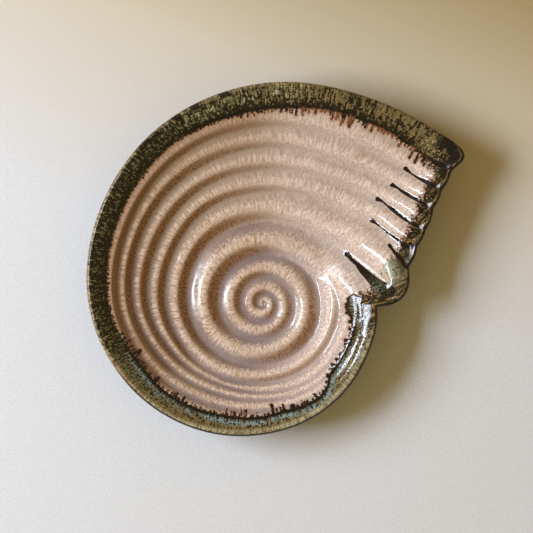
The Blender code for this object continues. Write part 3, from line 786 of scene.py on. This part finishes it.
def glaze():
    g = Graph("reactive_glaze_painted")
    place = g.place()
    band, drip, edge = g.attribute("band"), g.attribute("drip"), g.attribute("edge")
    mouth, crest, shade_flank = g.attribute("mouth"), g.attribute("crest"), g.attribute("shade_flank")

    fine = g.streaks(0.62, 5.5, 1.0, taps=6)         # comb-like streaks across the ribs
    thin = g.streaks(1.0, 3.0, 1.0, shift=31.0)
    rays = g.streaks(0.72, 5.5, 0.8, taps=5, shift=57.0)   # the rim band's radial streaks
    broad = g.streaks(0.36, 6.5, 0.8, taps=4, shift=83.0)
    speck = g.noise(place, 0.9, 2.0, 0.6)
    grain = g.noise(place, 2.6, 1.0)
    drift = g.noise(place, 0.035, 2.0)

    # ---- the pinkish beige inside: pale crests, mauve-grey grooves, and brown flanks that are painted shade where the ribs face away from the light, with the glaze's streaks in them
    comb = g.mul(g.add(fine, -0.5), 6.5)
    hair = g.mul(g.add(thin, -0.5), 4.0)
    where = g.add(g.add(crest, g.mul(comb, 0.28)), g.mul(g.add(speck, -0.5), 0.7))
    even = g.attribute("even")
    groove_tone = g.mix(g.ramp(drift, 0.35, 0.65), linear(143, 124, 119), linear(158, 136, 125))
    groove_tone = g.mix(g.mul(g.attribute("warmth"), 0.8), groove_tone, linear(168, 146, 118))
    groove_tone = g.mix(g.mul(g.ramp(g.add(hair, g.mul(g.add(speck, -0.5), 1.5)), -0.1, 0.9), 0.5),
                        groove_tone, linear(190, 164, 150))
    tooth = g.add(g.mul(comb, 0.55), g.add(g.mul(g.add(speck, -0.5), 0.9), g.mul(hair, 0.25)))
    crest_tone = g.mix(g.ramp(tooth, -0.42, 0.42), linear(188, 152, 122), linear(236, 214, 192))
    inside_tone = g.mix(g.ramp(where, 0.15, 0.95), groove_tone, crest_tone)
    level = g.mix(g.ramp(tooth, -0.5, 0.6), linear(194, 170, 151), linear(241, 221, 206))
    inside_tone = g.mix(g.mul(even, 0.75), inside_tone, level)
    # painted shade: flanks that face away from the light turn brown, streaked like the glaze
    painted_lee_shade = g.ramp(g.add(shade_flank, g.mul(comb, 0.26)), 0.10, 0.52)
    painted_lee_shade = g.mul(painted_lee_shade, g.ramp(even, 0.0, 1.0, 0.9, 0.35, "LINEAR"))
    painted_lee_shade_tone = g.mix(g.ramp(g.add(comb, g.mul(hair, 0.5)), -0.5, 0.5), linear(186, 142, 100),
                     linear(128, 82, 44))
    inside_tone = g.mix(painted_lee_shade, inside_tone, painted_lee_shade_tone)
    # painted shade: the inside wall on the upper left, which faces away from the light, darker and browner toward the
    # band
    painted_wall_shade = g.mul(g.ramp(band, -52.0, -6.0, 0.0, 0.75), g.attribute("left_glaze_and_shade"))
    inside_tone = g.mix(painted_wall_shade, inside_tone, (0.66, 0.56, 0.42, 1.0), "MULTIPLY")
    # a browner strip just inside the band on the upper left: the glaze's brown edge, deepened as painted shade of that
    # wall
    rim_brown_and_shade = g.mul(g.ramp(g.add(band, g.mul(comb, 1.4)), -11.0, -2.5), g.attribute("left_glaze_and_shade"))
    inside_tone = g.mix(g.mul(rim_brown_and_shade, 0.58), inside_tone,
                        g.mix(g.ramp(tooth, -0.5, 0.5), linear(126, 90, 62), linear(184, 150, 120)))
    worm = g.ramp(g.noise(place, 1.5, 1.0, 0.5), 0.60, 0.70)
    inside_tone = g.mix(g.mul(worm, 0.22), inside_tone, linear(240, 222, 208))

    # ---- the dark rim band, from its fringe out to the lip
    broken = g.add(g.mul(g.add(fine, -0.5), 6.0), g.mul(g.add(speck, -0.5), 2.0))
    depth = g.add(band, g.mul(broken, 0.8))
    dark = g.attribute("dark")
    black = linear(15, 12, 9)
    brown = linear(62, 36, 24)
    leafy = g.math("MAXIMUM", g.attribute("left_glaze_and_shade"), g.ramp(mouth, 26.0, 14.0, 0.0, 0.5))
    olive = g.mix(leafy, linear(152, 130, 82), linear(138, 128, 82))
    olive_dark = g.mix(leafy, linear(80, 66, 41), linear(68, 64, 42))
    teal = linear(136, 157, 150)
    pale = linear(178, 172, 122)
    cream = linear(196, 184, 146)
    ochre = linear(146, 112, 60)
    body = g.mix(g.ramp(g.add(g.mul(broken, 0.5), g.mul(g.add(grain, -0.5), 1.5)), -0.6, 0.6),
                 olive_dark, olive)
    patch = g.ramp(g.add(g.noise(place, 0.16, 2.0), g.mul(broken, 0.12)), 0.48, 0.68)
    body = g.mix(g.mul(g.mul(patch, g.attribute("pale")), 0.9), body, pale)
    mottle = g.add(g.noise(place, 0.56, 2.0, 0.7), -0.5)
    spots = g.add(g.mul(g.add(rays, -0.5), 8.5), g.mul(mottle, 3.4))
    spots = g.add(spots, g.mul(g.add(thin, -0.5), 3.5))
    wide = g.add(g.mul(g.attribute("inner"), 7.5), g.mul(dark, 4.0))
    spots = g.add(spots, g.mul(g.add(broad, -0.5), wide))
    spots = g.add(spots, g.add(g.mul(g.attribute("inner"), -0.02), g.mul(g.attribute("teal"), -0.22)))
    spots = g.add(spots, g.mul(dark, 0.46))
    spots = g.add(spots, g.mul(g.mul(g.ramp(band, 11.0, 3.0), g.attribute("inner")), 0.75))
    spots = g.add(spots, g.mul(g.ramp(edge, 7.0, 4.0, 0.0, -0.8), g.attribute("teal")))
    body = g.mix(g.mul(g.ramp(spots, -0.12, 0.16), 0.95), body, black)
    sea = g.mul(g.ramp(depth, 1.8, 3.6), g.ramp(depth, 5.0, 9.0, 1.0, 0.0))
    sea = g.mul(g.mul(sea, g.attribute("teal")), g.ramp(spots, 0.2, -0.25))
    sea = g.mul(sea, g.ramp(g.noise(place, 0.13, 1.0), 0.36, 0.56, 0.25, 1.0))
    body = g.mix(g.mul(sea, 0.9), body, teal)
    fringe = g.ramp(g.add(depth, g.mul(mottle, 6.0)), 2.0, 4.6, 1.0, 0.0)
    fringe = g.mul(fringe, g.ramp(dark, 0.0, 1.0, 1.0, 0.45))
    fringe_tone = g.mix(g.ramp(g.add(band, g.mul(mottle, 3.0)), 0.1, 1.1, 1.0, 0.0),
                        black, brown)
    rust = g.mul(g.ramp(g.add(band, g.mul(g.add(fine, -0.5), 8.0)), 2.0, 0.6),
                 g.ramp(g.noise(place, 0.12, 1.0), 0.42, 0.55))
    rusty = g.mix(g.mul(g.attribute("red"), rust), fringe_tone, linear(140, 88, 60))
    body = g.mix(fringe, body, rusty)

    # ---- the lip: olive, then cream or ochre, then a black outer line, which is painted shade where the lip faces away from the light
    toward_lip = g.ramp(g.add(g.add(edge, g.mul(broken, 0.5)),
                              g.add(g.add(g.mul(dark, 1.5), g.mul(g.attribute("gold"), 2.6)),
                                    g.mul(g.attribute("wide_lip"), -1.5))), 4.9, 2.6)
    toward_lip = g.mul(toward_lip, g.ramp(mouth, 6.0, 16.0))
    toward_lip = g.mul(toward_lip, g.ramp(g.attribute("bare_lip"), 0.0, 1.0, 1.0, 0.4))
    lip_tone = g.mix(g.ramp(g.add(fine, g.mul(g.add(speck, -0.5), 0.6)), 0.38, 0.62),
                     linear(112, 100, 66), cream)
    lip_tone = g.mix(g.attribute("left_glaze_and_shade"), lip_tone,
                     g.mix(g.ramp(fine, 0.42, 0.58), linear(124, 98, 66), linear(192, 164, 120)))
    lip_tone = g.mix(g.attribute("gold"), lip_tone, linear(140, 116, 62))
    ticks = g.mul(g.ramp(spots, 0.35, 0.75), 0.75)
    body = g.mix(g.mul(g.mul(toward_lip, 0.9), g.ramp(ticks, 0.0, 1.0, 1.0, 0.0)), body, lip_tone)
    chip = g.mul(g.ramp(g.noise(place, 0.085, 1.0), 0.50, 0.56), g.ramp(edge, 6.5, 3.5))
    body = g.mix(g.mul(g.mul(chip, g.attribute("bare_lip")), 0.9), body, black)
    # painted shade: a black line on the lip's outer rounding where it faces away from the light, over the dark glaze
    painted_shade_rim_line = g.mul(g.ramp(g.add(edge, g.mul(g.add(speck, -0.5), 0.9)), 2.0, 1.3), g.attribute("line"))
    low_half = g.ramp(g.add(g.attribute("side"), g.mul(mottle, 0.8)), 0.62, 0.30)
    end = g.mul(g.ramp(mouth, 19.0, 12.0), g.ramp(mouth, 2.0, 4.5))
    flame = g.mul(g.mul(end, low_half), g.ramp(spots, 0.25, -0.15))
    flame = g.mul(flame, g.ramp(g.attribute("lobe"), 0.1, 0.5, 1.0, 0.15))
    body = g.mix(g.mul(flame, 0.8), body,
                 g.mix(g.ramp(mouth, 6.0, 13.0), linear(168, 134, 80), linear(160, 98, 62)))
    body = g.mix(g.mul(g.mul(g.attribute("lobe"), g.ramp(mottle, -0.12, -0.02)), 1.0), body,
                 linear(180, 180, 148))
    ochre_line = g.mul(g.ramp(mouth, 3.8, 3.1), g.ramp(mouth, 1.9, 2.5))
    body = g.mix(g.mul(ochre_line, g.ramp(g.add(fine, g.mul(mottle, 0.5)), 0.46, 0.58)), body, ochre)
    body = g.mix(painted_shade_rim_line, body, linear(14, 12, 10))
    tip = g.mul(g.attribute("tip"), g.ramp(ochre_line, 0.0, 1.0, 0.97, 0.1))
    body = g.mix(tip, body, linear(20, 18, 16))
    comb_out = g.mul(g.mul(g.ramp(rays, 0.515, 0.56), g.ramp(g.add(band, g.mul(g.add(fine, -0.5), 20.0)), 19.0, 14.0)),
                     g.mul(g.attribute("near_tip"), g.ramp(band, 1.0, 2.5)))
    body = g.mix(g.mul(g.mul(comb_out, g.ramp(mouth, 3.0, 9.0)), 0.9), body,
                 linear(176, 152, 100))

    # ---- drips
    head = g.ramp(g.add(drip, g.mul(g.add(grain, -0.5), 0.5)), 0.0, 0.8)
    drip_tone = g.mix(head, linear(74, 42, 28), linear(22, 15, 12))
    vein = g.mul(g.ramp(g.add(mottle, g.mul(g.add(thin, -0.5), 1.2)), -0.05, 0.07),
                 g.attribute("marble"))
    drip_tone = g.mix(g.mul(vein, 0.85), drip_tone, linear(112, 116, 84))

    edge_noise = g.add(g.mul(g.add(grain, -0.5), 1.0), g.mul(mottle, 3.0))
    edge_noise = g.add(edge_noise, g.mul(g.mul(mottle, g.ramp(mouth, 24.0, 15.0)), 16.0))
    in_band = g.ramp(g.add(band, edge_noise), -0.25, 0.25)
    halo = g.mul(g.ramp(band, -2.2, -0.3), g.ramp(g.attribute("teal"), 0.0, 1.0, 0.5, 0.15))
    tone = g.mix(halo, inside_tone, linear(176, 126, 90))
    tone = g.mix(in_band, tone, body)
    in_drip = g.ramp(g.add(drip, g.mul(g.add(grain, -0.5), 0.35)), -0.15, 0.15)
    tone = g.mix(in_drip, tone, drip_tone)

    # ---- outside and foot
    outside = g.mix(g.ramp(g.add(speck, g.mul(g.add(drift, -0.5), 1.0)), 0.3, 0.75),
                    linear(40, 32, 22), linear(84, 78, 44))
    tone = g.mix(g.attribute("under"), tone, outside)
    bare = g.ramp(g.attribute("foot"), 3.4, 2.9)
    clay = g.mix(g.ramp(grain, 0.35, 0.7), linear(196, 176, 150), linear(168, 146, 120))
    tone = g.mix(bare, tone, clay)

    gloss = g.ramp(speck, 0.25, 0.8, 0.06, 0.13)
    gloss = g.between(in_band, gloss, g.ramp(speck, 0.25, 0.8, 0.07, 0.2))
    dull = g.mul(g.mul(g.ramp(mouth, 9.5, 6.5), g.ramp(mouth, 1.5, 3.0)), in_band)
    gloss = g.between(g.mul(dull, 0.8), gloss, 0.24)
    gloss = g.between(g.mul(g.attribute("calm"), 0.9), gloss, 0.45)
    gloss = g.between(bare, gloss, 0.75)
    g.set(g.shader.inputs["Base Color"], tone)
    g.set(g.shader.inputs["Roughness"], gloss)
    g.shader.inputs["IOR"].default_value = 1.52

    bump = g.node("ShaderNodeBump")
    bump.inputs["Strength"].default_value = 0.35
    bump.inputs["Distance"].default_value = 0.001
    ripple = g.add(g.mul(g.noise(place, 0.12, 2.0), 0.9), g.mul(fine, 0.10))
    ripple = g.add(ripple, g.mul(g.mul(thin, in_band), 0.35))
    ripple = g.add(ripple, g.mul(g.mul(grain, bare), 0.5))
    pits = g.mul(g.ramp(crest, 0.45, 0.1), g.ramp(even, 0.0, 0.5, 1.0, 0.0))
    ripple = g.add(ripple, g.mul(g.mul(grain, pits), 0.12))
    g.set(bump.inputs["Height"], ripple)
    g.set(g.shader.inputs["Normal"], bump.outputs[0])
    return g.mat


def paper():
    g = Graph("pale_paper")
    place = g.place()
    weave = g.node("ShaderNodeTexWave", wave_type="BANDS", bands_direction="DIAGONAL")
    g.set(weave.inputs["Vector"], place)
    g.set(weave.inputs["Scale"], 0.28)
    g.set(weave.inputs["Distortion"], 1.5)
    grain = g.noise(place, 0.9, 2.0, 0.6)
    tone = g.mix(g.ramp(grain, 0.3, 0.7), linear(220, 220, 218), linear(234, 234, 232))
    apart = g.node("ShaderNodeSeparateXYZ")
    g.set(apart.inputs[0], place)
    # painted shade: the paper grows darker and warmer toward the upper right, standing in for the light's fall-off
    far = g.add(apart.outputs["Y"], g.mul(apart.outputs["X"], 0.35))
    tone = g.mix(g.ramp(far, -10.0, 170.0, 0.0, 1.0, "LINEAR"), tone, linear(220, 207, 182))
    tone = g.mix(g.ramp(far, 160.0, 310.0, 0.0, 1.0, "LINEAR"), tone, linear(170, 146, 90))
    g.set(g.shader.inputs["Base Color"], tone)
    g.set(g.shader.inputs["Roughness"], g.ramp(grain, 0.2, 0.8, 0.8, 0.95))
    bump = g.node("ShaderNodeBump")
    bump.inputs["Strength"].default_value = 0.5
    bump.inputs["Distance"].default_value = 0.0004
    g.set(bump.inputs["Height"], g.add(g.mul(weave.outputs["Fac"], 0.4), g.mul(grain, 0.6)))
    g.set(g.shader.inputs["Normal"], bump.outputs[0])
    return g.mat


# ---------------------------------------------------------------- floor, light, camera
def floor():
    bm_size = 3.0
    mesh = bpy.data.meshes.new("floor")
    under = -0.0002                          # just clear of the flat that it stands on
    mesh.from_pydata([(x * bm_size, y * bm_size, under)
                      for x, y in ((-1, -1), (1, -1), (1, 1), (-1, 1))], [], [(0, 1, 2, 3)])
    made = bpy.data.objects.new("floor", mesh)
    bpy.context.scene.collection.objects.link(made)
    mesh.materials.append(paper())
    return made


def window(name, azimuth, elevation, reach, width, tall, energy, colour):
    """A soft rectangular light that faces the middle of the dish."""
    data = bpy.data.lights.new(name, "AREA")
    data.shape = "RECTANGLE"
    data.size, data.size_y = width, tall
    data.energy, data.color = energy, colour
    made = bpy.data.objects.new(name, data)
    a, e = math.radians(azimuth), math.radians(elevation)
    back = Vector((math.cos(a) * math.cos(e), math.sin(a) * math.cos(e), math.sin(e)))
    made.location = back * reach
    made.rotation_euler = (-back).to_track_quat("-Z", "Y").to_euler()
    bpy.context.scene.collection.objects.link(made)
    return made


def surroundings():
    world = bpy.data.worlds.new("room")
    bpy.context.scene.world = world
    world.use_nodes = True
    tree = world.node_tree
    room = tree.nodes["Background"]
    room.inputs["Color"].default_value = (0.33, 0.245, 0.105, 1.0)
    room.inputs["Strength"].default_value = 1.0
    seen = tree.nodes.new("ShaderNodeBackground")
    seen.inputs["Color"].default_value = (0.72, 0.70, 0.66, 1.0)
    path = tree.nodes.new("ShaderNodeLightPath")
    mix = tree.nodes.new("ShaderNodeMixShader")
    tree.links.new(path.outputs["Is Camera Ray"], mix.inputs[0])
    tree.links.new(room.outputs[0], mix.inputs[1])
    tree.links.new(seen.outputs[0], mix.inputs[2])
    tree.links.new(mix.outputs[0], tree.nodes["World Output"].inputs["Surface"])


def camera():
    """Straight down; the frame spans 429 mm at the height of the rim."""
    reach, span = 2.0, 0.429
    data = bpy.data.cameras.new("camera")
    data.sensor_width = 36.0
    data.lens = 36.0 * reach / span
    made = bpy.data.objects.new("camera", data)
    made.location = (-0.0072, -0.0060, HEIGHT * 0.001 + reach)
    made.rotation_euler = (0.0, 0.0, 0.0)
    bpy.context.scene.collection.objects.link(made)
    bpy.context.scene.camera = made


bpy.context.scene.view_settings.view_transform = "Standard"
body = build_body()
body.data.materials.append(glaze())
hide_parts("shell_platter")
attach(body, "root")
floor()
# the daylight itself, and the bright strip of it that the glaze mirrors
daylight = window("daylight", 174, 35, 2.5, 1.5, 1.1, 92.5, (0.74, 0.82, 1.0))
daylight.visible_glossy = False
strip = window("strip", 172, 41, 2.5, 1.62, 0.36, 56.0, (0.80, 0.88, 1.0))
strip.visible_diffuse = False
surroundings()
camera()
